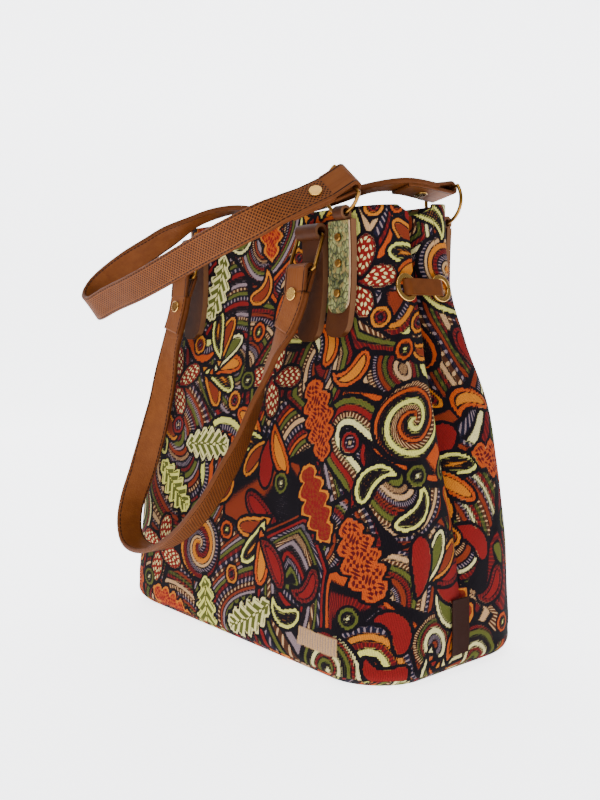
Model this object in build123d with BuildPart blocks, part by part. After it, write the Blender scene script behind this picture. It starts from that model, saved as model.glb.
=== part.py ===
from build123d import *
from math import cos, radians, sin
import os

# A flared bag of woven cloth. Two panels wrap round the corners to a seam down
# the middle of each side, where a pleat is drawn together by a leather strip.
# All sizes are in millimetres. The bag stands on z = 0, centred on its base,
# and its front faces -Y.

# Outlines of the cloth body from the floor to above the rim: height,
# half width, half depth, corner reach along x, outer and inner end of the
# flat side band along y, depth of the side pleat
OUTLINES = [
    (0, 139, 68, 36, 34, 28, 0.5),
    (6, 146, 74, 40, 34, 28, 2),
    (16, 147.5, 76, 44, 34, 28, 3),
    (38, 147.5, 74.5, 46, 34, 27.5, 5),
    (65, 147, 72.2, 48, 34, 27, 7.4),
    (95, 146, 68.2, 48, 34, 26, 10),
    (125, 142.8, 63.8, 47.5, 33.5, 24, 13.5),
    (155, 138, 59.3, 46.5, 32.5, 21.5, 17),
    (182, 130.3, 53.8, 44, 30.5, 17.5, 19.5),
    (205, 122, 47.6, 38, 27.5, 12, 19.5),
    (227, 113.8, 42.8, 31, 24.5, 7.5, 17),
    (252, 108.2, 41.2, 27, 24, 6.6, 15),
    (278, 105, 42, 25, 24, 7, 14),
    (304, 104, 43, 25, 24, 7, 13),
]
CORNER_ROUNDNESS = 0.56
PLEAT_ANGLE = 52
PLEAT_PULL = 0.42

CLOTH = 2.0
LINER = 0.8
BASE_SEAM = 6.0
FACING_EDGE = 256.0
RIM_HEIGHT = 293.5
RIM_TILT = 4.8
NOTCH_DEPTH = 8.0
NOTCH_HALF = 17.0
NOTCH_EDGE = 1.0
NOTCH_TOP = 10.0
BOARD_THICKNESS = 2.0
BOARD_GAP = 9.0

GROMMET_HEIGHT = 240.0
GROMMET_OFFSET = 16.0
GROMMET_HOLE = 5.8
GROMMET_WALL = 0.7
GROMMET_BORE = GROMMET_HOLE + GROMMET_WALL
BORE_REACH = 9.0
FLANGE_SEAT = 0.3
FLANGE_ROUNDING = 0.45
FLANGE_RADIUS = 9.0
FLANGE_THICKNESS = 1.5
WASHER_RADIUS = 7.5
WASHER_THICKNESS = 0.8
WASHER_SEAT = CLOTH + LINER + 0.9
CINCH_WIDTH = 10.4
CINCH_THICKNESS = 1.8
CINCH_END = 12.0
CINCH_BEND = 3.0
CINCH_CLEARANCE = 0.3

LABEL_WIDTH = 13.0
LABEL_LENGTH = 36.0
LABEL_THICKNESS = 0.9
LABEL_HEIGHT = 45.0
LABEL_STANDOFF = 4.8
LABEL_SHIFT = 1.5
LABEL_LEAN = 0.05
LABEL_CORNER = 0.8

TAB_WIDTH = 20.0
TAB_THICKNESS = 4.4
TAB_BOTTOM = 206.0
TAB_GAP = 0.4
TAB_FLAT = 1.0
LEATHER = 2.0
HANGING_FROM = 150.0
NECK_OVERLAP = 2.0
EYE = 3.2
FRONT_TABS = {"left": -76.0, "right": 57.5}
FRONT_EYE_HEIGHT = 276.0
OUTER_TAB_X = 84.0
OUTER_EYE_X = 86.0
OUTER_EYE_HEIGHT = 286.0
OUTER_EYE = 2.5
OUTER_EYE_WIDTH = 8.0
OUTER_SHOULDER = 282.0
OUTER_TAB_BOTTOM = 209.0
STUDDED_BOTTOM = 224.0
STUDDED_TOP = 281.0
STUDDED_WIDTH = 18.6
STUDDED_THICKNESS = 1.4
STUDDED_GAP = 0.15
STUD_HEIGHTS = (236.5, 255.0, 271.0)
STUD_RADIUS = 2.7
STUD_RISE = 1.5
STUD_ROUNDING = 0.9

WIRE = 1.2
RING_WIDTH = 24.6
RING_DROP = 24.4
RING_LEAN = 20
RING_CORNER = 3.0
RING_CLEARANCE = 0.3
D_RADIUS = 15.5
D_SIDE = 6.5
D_CENTRE_HEIGHT = 300.9
D_TILT_FRONT = 40
D_TILT_BACK = -12

STRAP_WIDTH = 20.0
STRAP_THICKNESS = 3.6
TAIL_THICKNESS = 2.0
TAIL_INSET = 0.4
TAIL_OVERLAP = 0.6
TAIL_STEPS = 7
STATION = 17.0
FOLD_LENGTH = 42.0
FOLD_RADIUS = 5.0
FOLD_REACH = 14.0
FOLD_EYE = 2.0
RIVET_DISTANCE = 22.0
RIVET_RADIUS = 4.2
RIVET_SHANK = 1.8
RIVET_HEAD = 1.0
RIVET_GAP = 0.45
HEAD_ROUNDING = 0.5

# Middle lines of the two handles: x, y, z and the direction of the width
FRONT_ROUTE = [
    (-76, -55.9, 251.4, 1, 0, 0),
    (-76, -58.4, 237.6, 1, 0, 0),
    (-78.2, -60.8, 222, 1, 0, 0),
    (-82.4, -63.5, 205.6, 1, 0.05, 0),
    (-87.4, -69, 168, 0.92, 0.4, 0),
    (-94, -76, 130, 0.7, 0.7, 0),
    (-102.3, -82, 99, 0.38, 0.92, 0),
    (-107.9, -87, 74, 0.1, 1, 0),
    (-101.7, -90, 57.7, 0, 1, 0),
    (-80.9, -92, 51.8, 0, 1, 0),
    (-50.4, -92, 59.6, 0, 1, 0),
    (-14.8, -90, 83.2, 0, 1, 0),
    (12.4, -84, 117.2, -0.15, 0.99, 0),
    (29.6, -76, 154.8, -0.5, 0.87, 0),
    (42.8, -68, 194.3, -0.87, 0.5, 0),
    (51.5, -61.5, 218, -1, 0.05, 0),
    (57.5, -58.4, 237.6, -1, 0, 0),
    (57.5, -55.9, 251.4, -1, 0, 0),
]
SIDE_ROUTE = [
    (90.2, -47.1, 305.9, -0.766, 0, 0.643),
    (85, -58.6, 299.7, -0.766, 0, 0.643),
    (79.8, -70, 293.6, -0.766, 0, 0.643),
    (71.5, -81.5, 287.4, -0.72, -0.1, 0.68),
    (51.5, -92, 278.7, -0.5, -0.33, 0.8),
    (17.1, -98, 267.8, -0.38, -0.4, 0.83),
    (-22.5, -103, 254.9, -0.38, -0.4, 0.83),
    (-68.5, -107, 241.4, -0.36, -0.42, 0.83),
    (-104.6, -108, 232.9, -0.3, -0.47, 0.83),
    (-126.9, -106, 230.4, -0.23, -0.51, 0.83),
    (-135, -99, 239.7, -0.23, -0.6, 0.77),
    (-119.2, -86, 258.5, -0.1, -0.7, 0.7),
    (-90.8, -68, 278.7, 0.2, -0.85, 0.45),
    (-65.6, -49, 294.9, 0.5, -0.86, 0.05),
    (-43, -31, 301.4, 0.4, -0.9, 0),
    (-20, -25, 299, 0.1, -1, 0),
    (20, -26, 296, 0, -1, 0),
    (55, -26, 299, 0.3, -0.95, 0),
    (76.5, -14, 305, 0.75, -0.65, 0.05),
    (84.6, 7, 308.4, 0.97, -0.1, 0.18),
    (84.6, 33, 307.6, 0.978, 0, 0.208),
    (84.6, 47.1, 307.3, 0.978, 0, 0.208),
]


def outline_at(height):
    """Half width, half depth, reach, band ends and pleat at any height."""
    for lower, upper in zip(OUTLINES, OUTLINES[1:]):
        if height <= upper[0]:
            part = (height - lower[0]) / (upper[0] - lower[0])
            return [a + (b - a) * part for a, b in zip(lower[1:], upper[1:])]
    return list(OUTLINES[-1][1:])


def side_slope(height, step=6.0):
    """How much the side falls outwards for each millimetre down."""
    above, below = outline_at(height + step), outline_at(height - step)
    return (below[0] - above[0]) / (2 * step)


def quarter_outline(outline, inset):
    """One quarter of an outline from the middle of the front to the seam:
    a straight, a rounded corner, a flat band and one wall of the pleat."""
    half_width, half_depth, reach, outer, inner, pleat = outline
    side = half_width - inset
    front = half_depth - inset
    bend = reach - inset
    rise = front - outer
    slant = radians(PLEAT_ANGLE)
    valley = half_width - pleat - inset / sin(slant)
    pull = PLEAT_PULL * inner
    straight = [(0, -front), (side - bend, -front)]
    corner = [
        (side - bend, -front),
        (side - bend + CORNER_ROUNDNESS * bend, -front),
        (side, -outer - (1 - CORNER_ROUNDNESS) * rise),
        (side, -outer),
    ]
    band = [(side, -outer), (side, -inner - inset / 2)]
    pleat_wall = [
        (side, -inner - inset / 2),
        (side, -inner + pull),
        (valley + pull * cos(slant), -pull * sin(slant)),
        (valley, 0),
    ]
    return straight, corner, band, pleat_wall


def outline_face(outline, inset, height):
    """A closed outline of the body at one height, mirrored both ways."""
    quarter = quarter_outline(outline, inset)
    with BuildSketch(Plane.XY.offset(height)) as face:
        with BuildLine():
            for flip_x, flip_y in ((1, 1), (1, -1), (-1, 1), (-1, -1)):
                for points in quarter:
                    turned = [(x * flip_x, y * flip_y) for x, y in points]
                    if len(turned) == 2:
                        Line(*turned)
                    else:
                        Bezier(*turned)
        make_face()
    return face.sketch


def body_volume(inset, floor):
    """The body's space, drawn in by an inset and cut off above a floor."""
    with BuildPart() as volume:
        for height, *outline in OUTLINES:
            level = max(height, floor)
            drawn_in = inset if height > 0 else inset / 2
            add(outline_face(outline, drawn_in, level))
        loft()
    return volume.part


def rim_notch():
    """The space cut away where the rim dips at the two side seams."""
    with BuildSketch(Plane.YZ) as notch:
        with BuildLine():
            Polyline(
                (-NOTCH_HALF, RIM_HEIGHT + NOTCH_TOP),
                (-NOTCH_HALF, RIM_HEIGHT - NOTCH_EDGE),
                (0, RIM_HEIGHT - NOTCH_DEPTH),
                (NOTCH_HALF, RIM_HEIGHT - NOTCH_EDGE),
                (NOTCH_HALF, RIM_HEIGHT + NOTCH_TOP),
                close=True,
            )
        make_face()
    return notch.sketch


def grommet_planes():
    """Seats of the four grommets, facing out of the side bands."""
    for side in (1, -1):
        for end in (1, -1):
            seat = (side * side_at_grommet, end * GROMMET_OFFSET, GROMMET_HEIGHT)
            normal = (side * grommet_normal.X, 0, grommet_normal.Z)
            yield Plane(seat, x_dir=(0, 1, 0), z_dir=normal)


def ring_face(plane, radius, hole=0):
    """A disc on a plane, with or without a round hole."""
    with BuildSketch(plane) as face:
        Circle(radius)
        if hole:
            Circle(hole, mode=Mode.SUBTRACT)
    return face.sketch


def finish_shell():
    """Trim a shell to the tilted rim, dip it at the seams and bore it."""
    split(bisect_by=rim_plane, keep=Keep.BOTTOM)
    extrude(rim_notch(), amount=OUTLINES[0][1], both=True, mode=Mode.SUBTRACT)
    for plane in grommet_planes():
        extrude(ring_face(plane, GROMMET_BORE), amount=BORE_REACH, both=True, mode=Mode.SUBTRACT)


outer_volume = body_volume(0, 0)
middle_volume = body_volume(CLOTH, CLOTH)
inner_volume = body_volume(CLOTH + LINER, CLOTH + LINER)
side_at_grommet = outline_at(GROMMET_HEIGHT)[0]
grommet_normal = Vector(1, 0, side_slope(GROMMET_HEIGHT)).normalized()


rim_plane = Plane((0, 0, RIM_HEIGHT), x_dir=(1, 0, 0), z_dir=(0, -sin(radians(RIM_TILT)), 1))
pieces = []

# Woven panels and base
with BuildPart() as cloth:
    add(outer_volume)
    add(middle_volume, mode=Mode.SUBTRACT)
    finish_shell()

base_plane = Plane.XY.offset(BASE_SEAM)

with BuildPart() as front_panel:
    add(cloth.part)
    split(bisect_by=base_plane, keep=Keep.TOP)
    split(bisect_by=Plane.XZ, keep=Keep.TOP)
front_panel.part.label = "front_panel"
pieces.append(front_panel.part)

with BuildPart() as back_panel:
    add(cloth.part)
    split(bisect_by=base_plane, keep=Keep.TOP)
    split(bisect_by=Plane.XZ, keep=Keep.BOTTOM)
back_panel.part.label = "back_panel"
pieces.append(back_panel.part)

with BuildPart() as base_panel:
    add(cloth.part)
    split(bisect_by=base_plane, keep=Keep.BOTTOM)
base_panel.part.label = "base_panel"
pieces.append(base_panel.part)

# Lining, with a woven facing below the rim
with BuildPart() as liner:
    add(middle_volume)
    add(inner_volume, mode=Mode.SUBTRACT)
    finish_shell()

facing_plane = Plane.XY.offset(FACING_EDGE)

with BuildPart() as lining:
    add(liner.part)
    split(bisect_by=facing_plane, keep=Keep.BOTTOM)
lining.part.label = "lining"
pieces.append(lining.part)

with BuildPart() as rim_facing:
    add(liner.part)
    split(bisect_by=facing_plane, keep=Keep.TOP)
rim_facing.part.label = "rim_facing"
pieces.append(rim_facing.part)

# Stiff board lying in the bottom
with BuildPart() as base_board:
    add(outline_face(OUTLINES[1][1:], BOARD_GAP, CLOTH + LINER))
    extrude(amount=BOARD_THICKNESS)
base_board.part.label = "base_board"
pieces.append(base_board.part)

# Grommets: a rounded flange with a barrel through the cloth, and a washer
barrel = FLANGE_SEAT + WASHER_SEAT + WASHER_THICKNESS
grommet_names = ("right_back", "right_front", "left_back", "left_front")
for name, plane in zip(grommet_names, grommet_planes()):
    seat = plane.offset(FLANGE_SEAT)
    with BuildPart() as grommet:
        extrude(ring_face(seat, FLANGE_RADIUS, GROMMET_HOLE), amount=FLANGE_THICKNESS)
        outer_face = grommet.faces().sort_by(Axis(plane.origin, plane.z_dir))[-1]
        fillet(outer_face.edges(), FLANGE_ROUNDING)
        extrude(ring_face(seat, GROMMET_BORE, GROMMET_HOLE), amount=-barrel)
    with BuildPart() as washer:
        extrude(
            ring_face(plane.offset(-WASHER_SEAT), WASHER_RADIUS, GROMMET_BORE),
            amount=-WASHER_THICKNESS,
        )
    for piece, kind in ((grommet, "grommet"), (washer, "washer")):
        piece.part.label = f"{kind}_{name}"
        pieces.append(piece.part)

# Cinch strips: each runs across the pleat and in through both grommets
cinch_face = FLANGE_SEAT + FLANGE_THICKNESS + CINCH_CLEARANCE
for side, name in ((1, "right"), (-1, "left")):
    outwards = Vector(side * grommet_normal.X, 0, grommet_normal.Z)
    cinch_plane = Plane(
        (side * side_at_grommet, 0, GROMMET_HEIGHT),
        x_dir=outwards,
        z_dir=outwards.cross(Vector(0, 1, 0)),
    )
    with BuildPart() as cinch_strip:
        with BuildSketch(cinch_plane):
            with BuildLine():
                FilletPolyline(
                    (cinch_face - CINCH_END, -GROMMET_OFFSET),
                    (cinch_face, -GROMMET_OFFSET),
                    (cinch_face, GROMMET_OFFSET),
                    (cinch_face - CINCH_END, GROMMET_OFFSET),
                    radius=CINCH_BEND,
                )
                offset(amount=CINCH_THICKNESS, side=Side.RIGHT)
            make_face()
        extrude(amount=CINCH_WIDTH / 2, both=True)
    cinch_strip.part.label = f"cinch_strip_{name}"
    pieces.append(cinch_strip.part)

# Sewn-in side label, lying over the right seam near the base
label_outline = outline_at(LABEL_HEIGHT)
label_x = label_outline[0] - label_outline[5] + LABEL_STANDOFF
label_normal = (1, 0, side_slope(LABEL_HEIGHT) + LABEL_LEAN)
label_plane = Plane((label_x, LABEL_SHIFT, LABEL_HEIGHT), x_dir=(0, 1, 0), z_dir=label_normal)
with BuildPart() as side_label:
    with BuildSketch(label_plane):
        RectangleRounded(LABEL_WIDTH, LABEL_LENGTH, LABEL_CORNER)
    extrude(amount=LABEL_THICKNESS)
side_label.part.label = "side_label"
pieces.append(side_label.part)


def front_curve(standoff):
    """Points up the front of the bag, a set distance out from the cloth."""
    return [(-row[2] - standoff, row[0]) for row in OUTLINES if row[0] > HANGING_FROM]


def hanging_strip(low, high, standoff, thickness):
    """Side view of a strip that follows the cloth between two heights."""
    inner = front_curve(standoff)
    outer = front_curve(standoff + thickness)
    with BuildSketch(Plane.YZ) as view:
        with BuildLine():
            Spline(*inner)
            Spline(*outer)
            Line(inner[0], outer[0])
            Line(inner[-1], outer[-1])
        make_face()
        with Locations((0, (low + high) / 2)):
            Rectangle(2 * OUTLINES[0][1], high - low, mode=Mode.INTERSECT)
    return view.sketch


def hung_piece(low, high, standoff, thickness, width):
    """A strip that follows the cloth, rounded at its lower end."""
    strip = hanging_strip(low, high, standoff, thickness)
    with BuildSketch(Plane.XZ) as front_view:
        with Locations((0, (low + high) / 2)):
            Rectangle(width, high - low)
        fillet(front_view.vertices().group_by(Axis.Y)[0], width / 2 - TAB_FLAT)
    with BuildPart() as piece:
        extrude(strip, amount=width / 2, both=True)
        extrude(front_view.sketch, amount=OUTLINES[0][1], both=True, mode=Mode.INTERSECT)
    return piece.part


def tab(name, x, bottom, shoulder, eye_x, eye_height, hole, eye_width):
    """A leather tab hanging down the front, with an eye rolled at its top."""
    radius = hole + LEATHER
    eye_y = -outline_at(eye_height)[1] - TAB_GAP - radius
    neck = hanging_strip(shoulder - NECK_OVERLAP, eye_height, TAB_GAP, TAB_THICKNESS)
    with BuildSketch(Plane.YZ.offset(eye_x)) as roll:
        with Locations((eye_y, eye_height)):
            Circle(radius)
    with BuildSketch(Plane.YZ.offset(eye_x)) as tunnel:
        with Locations((eye_y, eye_height)):
            Circle(hole)
    body = hung_piece(bottom, shoulder, TAB_GAP, TAB_THICKNESS, TAB_WIDTH)
    with BuildPart() as placed:
        add(Pos(x, 0, 0) * body)
        extrude(Pos(eye_x, 0, 0) * neck, amount=eye_width / 2, both=True)
        extrude(roll.sketch, amount=eye_width / 2, both=True)
        extrude(tunnel.sketch, amount=eye_width, both=True, mode=Mode.SUBTRACT)
    placed.part.label = name
    return placed.part


# Tabs: two for the front handle, one at each side of the side handle
for side, x in FRONT_TABS.items():
    pieces.append(tab(
        f"tab_front_{side}", x, TAB_BOTTOM, FRONT_EYE_HEIGHT, x, FRONT_EYE_HEIGHT, EYE, TAB_WIDTH,
    ))
outer_tab = tab(
    "tab_front_outer", OUTER_TAB_X, OUTER_TAB_BOTTOM, OUTER_SHOULDER,
    OUTER_EYE_X, OUTER_EYE_HEIGHT, OUTER_EYE, OUTER_EYE_WIDTH,
)
back_tab = mirror(outer_tab, about=Plane.XZ)
back_tab.label = "tab_back_right"
pieces += [outer_tab, back_tab]

# Studded strip sewn on the outer front tab
studded_standoff = TAB_GAP + TAB_THICKNESS + STUDDED_GAP
studded_part = Pos(OUTER_TAB_X, 0, 0) * hung_piece(
    STUDDED_BOTTOM, STUDDED_TOP, studded_standoff, STUDDED_THICKNESS, STUDDED_WIDTH,
)
studded_part.label = "studded_strip"
pieces.append(studded_part)

for name, height in zip(("lower", "middle", "upper"), STUD_HEIGHTS):
    stud_y = -outline_at(height)[1] - studded_standoff - STUDDED_THICKNESS - STUDDED_GAP
    with BuildPart() as stud:
        with BuildSketch(Plane((OUTER_TAB_X, stud_y, height), z_dir=(0, -1, 0))):
            Circle(STUD_RADIUS)
        extrude(amount=STUD_RISE)
        fillet(stud.faces().sort_by(Axis.Y)[0].edges(), STUD_ROUNDING)
    stud.part.label = f"stud_{name}"
    pieces.append(stud.part)

# Rectangular rings hanging from the two inner front tabs
front_eye_y = -outline_at(FRONT_EYE_HEIGHT)[1] - TAB_GAP - EYE - LEATHER
ring_top = Vector(0, front_eye_y, FRONT_EYE_HEIGHT - EYE + WIRE + RING_CLEARANCE)
ring_down = Vector(0, -sin(radians(RING_LEAN)), -cos(radians(RING_LEAN)))
ring_bar = ring_top + ring_down * RING_DROP
for side, x in FRONT_TABS.items():
    corner_a = ring_top + Vector(x - RING_WIDTH / 2, 0, 0)
    ring_plane = Plane(corner_a, x_dir=(1, 0, 0), z_dir=Vector(1, 0, 0).cross(ring_down))
    with BuildPart() as ring:
        with BuildLine(ring_plane) as wire_path:
            FilletPolyline(
                (0, 0),
                (0, RING_DROP),
                (RING_WIDTH, RING_DROP),
                (RING_WIDTH, 0),
                radius=RING_CORNER,
                close=True,
            )
        wire = wire_path.line
        with BuildSketch(Plane(wire @ 0, z_dir=wire % 0)):
            Circle(WIRE)
        sweep(path=wire)
    ring.part.label = f"ring_front_{side}"
    pieces.append(ring.part)


def d_ring(name, y, tilt):
    """A D-shaped ring whose arc runs through an eye; tilt leans it right."""
    lean = radians(tilt)
    up = Vector(sin(lean), 0, cos(lean))
    along = Vector(cos(lean), 0, -sin(lean))
    centre = Vector(OUTER_EYE_X, y, D_CENTRE_HEIGHT)
    half_bar = (D_RADIUS**2 - D_SIDE**2) ** 0.5
    left, right = [centre + up * D_SIDE + along * half_bar * end for end in (-1, 1)]
    with BuildPart() as ring:
        with BuildLine() as arc:
            ThreePointArc(left, centre - up * D_RADIUS, right)
        with BuildSketch(Plane(left, z_dir=arc.line % 0)):
            Circle(WIRE)
        sweep(path=arc.line)
        with BuildSketch(Plane(left, z_dir=along)):
            Circle(WIRE)
        extrude(amount=2 * half_bar)
        with Locations(left, right):
            Sphere(WIRE)
    ring.part.label = name
    return ring.part


outer_eye_y = outline_at(OUTER_EYE_HEIGHT)[1] + TAB_GAP + OUTER_EYE + LEATHER
pieces.append(d_ring("ring_side_front", -outer_eye_y, D_TILT_FRONT))
pieces.append(d_ring("ring_side_back", outer_eye_y, D_TILT_BACK))


def strap_frames(route):
    """The length of a strap's middle line and a function for its frames: z
    runs along the strap, x across its width and y out of its inner face."""
    places = [Vector(*row[:3]) for row in route]
    ends = (places[1] - places[0], places[-1] - places[-2])
    with BuildLine():
        line = Spline(*places, tangents=[end.normalized() for end in ends])
    marks = [line.param_at_point(place) for place in places]

    def frame(along):
        for low, high, row, following in zip(marks, marks[1:], route, route[1:]):
            if along <= high:
                break
        part = (along - low) / (high - low)
        ease = part * part * (3 - 2 * part)
        width = Vector(*row[3:]) * (1 - ease) + Vector(*following[3:]) * ease
        heading = line % along
        width = width - heading * width.dot(heading)
        return Plane(line @ along, x_dir=width, z_dir=heading)

    return line.length, frame


def layer(frames, width, low, high):
    """A layer of leather running through a row of frames."""
    with BuildPart() as run:
        for plane in frames:
            with BuildSketch(plane):
                with Locations((0, (low + high) / 2)):
                    Rectangle(width, high - low)
        loft()
    return run.part


def fold_block(plane):
    """The end of a strap, wrapped round its bar."""
    side_view = Plane(plane.origin, x_dir=plane.z_dir, z_dir=-plane.x_dir)
    half = STRAP_THICKNESS / 2
    with BuildPart() as block:
        with BuildSketch(side_view):
            Circle(FOLD_RADIUS)
            with BuildLine():
                Polyline(
                    (0, -FOLD_RADIUS),
                    (FOLD_REACH, -half),
                    (FOLD_REACH, half + TAIL_THICKNESS),
                    (0, FOLD_RADIUS),
                    close=True,
                )
            make_face()
            Circle(FOLD_EYE, mode=Mode.SUBTRACT)
        extrude(amount=STRAP_WIDTH / 2, both=True)
    return block.part


def rivet_plane(plane):
    """The plane that a rivet stands on in a frame of its strap."""
    return Plane(plane.origin, x_dir=plane.x_dir, z_dir=plane.y_dir)


def make_rivet(plane):
    """A rivet with a head on both faces of a folded strap end."""
    half = STRAP_THICKNESS / 2
    seats = (-half - RIVET_GAP, half + TAIL_THICKNESS + RIVET_GAP)
    with BuildPart() as rivet:
        extrude(ring_face(plane.offset(seats[0]), RIVET_SHANK), amount=seats[1] - seats[0])
        for seat, way in zip(seats, (-1, 1)):
            extrude(ring_face(plane.offset(seat), RIVET_RADIUS), amount=way * RIVET_HEAD)
            top = rivet.faces().sort_by(Axis(plane.origin, plane.z_dir * way))[-1]
            fillet(top.edges(), HEAD_ROUNDING)
    return rivet.part


def make_strap(name, route):
    """A handle: one strap, folded back and riveted round a bar at each end."""
    length, frame = strap_frames(route)
    start = (FOLD_REACH - 1) / length
    stations = round(length / STATION)
    row = [frame(start + (1 - 2 * start) * k / stations) for k in range(stations + 1)]
    fold = FOLD_LENGTH / length
    tail = [start + (fold - start) * k / TAIL_STEPS for k in range(TAIL_STEPS + 1)]
    half = STRAP_THICKNESS / 2
    tail_width = STRAP_WIDTH - 2 * TAIL_INSET
    first = frame(0)
    last = frame(1)
    turned = Plane(last.origin, x_dir=-last.x_dir, z_dir=-last.z_dir)
    step = RIVET_DISTANCE / length
    rivet_seats = {"start": rivet_plane(frame(step)), "end": rivet_plane(frame(1 - step))}
    with BuildPart() as strap:
        add(layer(row, STRAP_WIDTH, -half, half))
        for steps in (tail, [1 - along for along in tail]):
            frames = [frame(along) for along in steps]
            add(layer(frames, tail_width, half - TAIL_OVERLAP, half + TAIL_THICKNESS))
        add(fold_block(first))
        add(fold_block(turned))
        for seat in rivet_seats.values():
            hole = ring_face(seat, RIVET_SHANK + RIVET_GAP)
            extrude(hole, amount=2 * FOLD_RADIUS, both=True, mode=Mode.SUBTRACT)
    strap.part.label = f"{name}_strap"
    pieces.append(strap.part)
    for end, seat in rivet_seats.items():
        rivet = make_rivet(seat)
        rivet.label = f"rivet_{name}_{end}"
        pieces.append(rivet)


make_strap("front_handle", FRONT_ROUTE)
make_strap("side_handle", SIDE_ROUTE)

os.makedirs("parts", exist_ok=True)
for piece in pieces:
    export_step(piece, f"parts/{piece.label}.step")
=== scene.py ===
import math
import random

import bpy
import numpy as np
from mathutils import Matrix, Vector


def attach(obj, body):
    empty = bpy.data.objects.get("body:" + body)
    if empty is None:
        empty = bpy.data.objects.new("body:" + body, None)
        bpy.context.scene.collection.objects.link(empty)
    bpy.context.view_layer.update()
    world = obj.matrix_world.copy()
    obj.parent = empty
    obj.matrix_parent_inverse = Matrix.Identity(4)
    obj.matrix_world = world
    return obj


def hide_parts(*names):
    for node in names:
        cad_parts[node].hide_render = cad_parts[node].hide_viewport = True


# A flared bag of patterned woven cloth with leather handles. Shapes are worked
# out in millimetres, in the same frame as the solids, and turned into metres
# when a mesh is made.

MM = 0.001

# Body outlines: height, half width, half depth, corner reach along x, outer and
# inner end of the flat side band along y, depth of the side pleat
OUTLINES = np.array([
    (0, 139, 68, 36, 34, 28, 0.3),
    (6, 146, 74, 40, 34, 28, 0.4),
    (16, 147.5, 76, 44, 34, 28, 0.8),
    (38, 147.5, 74.5, 46, 34, 27.5, 2.2),
    (65, 147, 72.2, 48, 34, 27, 5),
    (95, 146, 68.2, 48, 34, 26, 9),
    (125, 142.8, 63.8, 47.5, 33.5, 24, 13.5),
    (155, 138, 59.3, 46.5, 32.5, 21.5, 17),
    (182, 130.3, 53.8, 44, 30.5, 17.5, 19.5),
    (205, 122, 47.6, 38, 27.5, 12, 19.5),
    (227, 113.8, 42.8, 31, 24.5, 7.5, 17),
    (252, 108.2, 41.2, 27, 24, 6.6, 15),
    (278, 105, 42, 25, 24, 7, 14),
    (304, 104, 43, 25, 24, 7, 13),
])
CORNER_ROUNDNESS = 0.56
PLEAT_ANGLE = math.radians(52)
PLEAT_PULL = 0.42
SHELL = 2.8
BASE_SEAM = 6.0
BASE_LAP = 1.5
FACING_EDGE = 256.0
FACING_TOP = 288.0
FACING_DROP = 2.5
RIM_HEIGHT = 293.5
RIM_SLOPE = math.sin(math.radians(4.8))
NOTCH_DEPTH = 8.0
NOTCH_HALF = 17.0

# How finely the outlines, the panels and the lining are divided
OUTLINE_STEPS = 64
PANEL_COLUMNS = 360
PANEL_ROWS = 226
FACING_ROWS = 26
LINING_COLUMNS = 120
LINING_ROWS = 60
HANDLE_STEPS = 360

# The rim's roll, the lining's slack behind dents, its gap over the base and
# how far its top is tucked up behind the facing
ROLL_HEIGHT = 1.2
LINING_SLACK = 2.0
LINING_GAP = 0.3
LINING_TUCK = 4.0

# Handles: x, y, z of the middle line and the direction of the width
FRONT_ROUTE = [
    (-76, -55.9, 251.4, 1, 0, 0),
    (-76, -58.4, 237.6, 1, 0, 0),
    (-78.2, -60.8, 222, 1, 0, 0),
    (-82.4, -63.5, 205.6, 1, 0.05, 0),
    (-87.4, -69, 168, 0.92, 0.4, 0),
    (-94, -76, 130, 0.7, 0.7, 0),
    (-102.3, -82, 99, 0.38, 0.92, 0),
    (-107.9, -87, 74, 0.1, 1, 0),
    (-101.7, -90, 57.7, 0, 1, 0),
    (-80.9, -92, 51.8, 0, 1, 0),
    (-50.4, -92, 59.6, 0, 1, 0),
    (-14.8, -90, 83.2, 0, 1, 0),
    (12.4, -84, 117.2, -0.15, 0.99, 0),
    (29.6, -76, 154.8, -0.5, 0.87, 0),
    (42.8, -68, 194.3, -0.87, 0.5, 0),
    (51.5, -61.5, 218, -1, 0.05, 0),
    (57.5, -58.4, 237.6, -1, 0, 0),
    (57.5, -55.9, 251.4, -1, 0, 0),
]
SIDE_ROUTE = [
    (90.2, -47.1, 305.9, -0.766, 0, 0.643),
    (85, -58.6, 299.7, -0.766, 0, 0.643),
    (79.8, -70, 293.6, -0.766, 0, 0.643),
    (71.5, -81.5, 287.4, -0.72, -0.1, 0.68),
    (51.5, -92, 278.7, -0.5, -0.33, 0.8),
    (17.1, -98, 267.8, -0.38, -0.4, 0.83),
    (-22.5, -103, 254.9, -0.38, -0.4, 0.83),
    (-68.5, -107, 241.4, -0.36, -0.42, 0.83),
    (-104.6, -108, 232.9, -0.3, -0.47, 0.83),
    (-126.9, -106, 230.4, -0.23, -0.51, 0.83),
    (-135, -99, 239.7, -0.23, -0.6, 0.77),
    (-119.2, -86, 258.5, -0.1, -0.7, 0.7),
    (-90.8, -68, 278.7, 0.2, -0.85, 0.45),
    (-65.6, -49, 294.9, 0.5, -0.86, 0.05),
    (-43, -31, 301.4, 0.4, -0.9, 0),
    (-20, -25, 299, 0.1, -1, 0),
    (20, -26, 296, 0, -1, 0),
    (55, -26, 299, 0.3, -0.95, 0),
    (76.5, -14, 305, 0.75, -0.65, 0.05),
    (84.6, 7, 308.4, 0.97, -0.1, 0.18),
    (84.6, 33, 307.6, 0.978, 0, 0.208),
    (84.6, 47.1, 307.3, 0.978, 0, 0.208),
]
STRAP_WIDTH = 20.0
STRAP_THICKNESS = 3.6
TAIL_THICKNESS = 2.0
FOLD_LENGTH = 42.0
FOLD_RADIUS = 4.6
FOLD_REACH = 14.0
FOLD_THICKNESS = 2.2
FOLD_CORNER = 0.5

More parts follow.
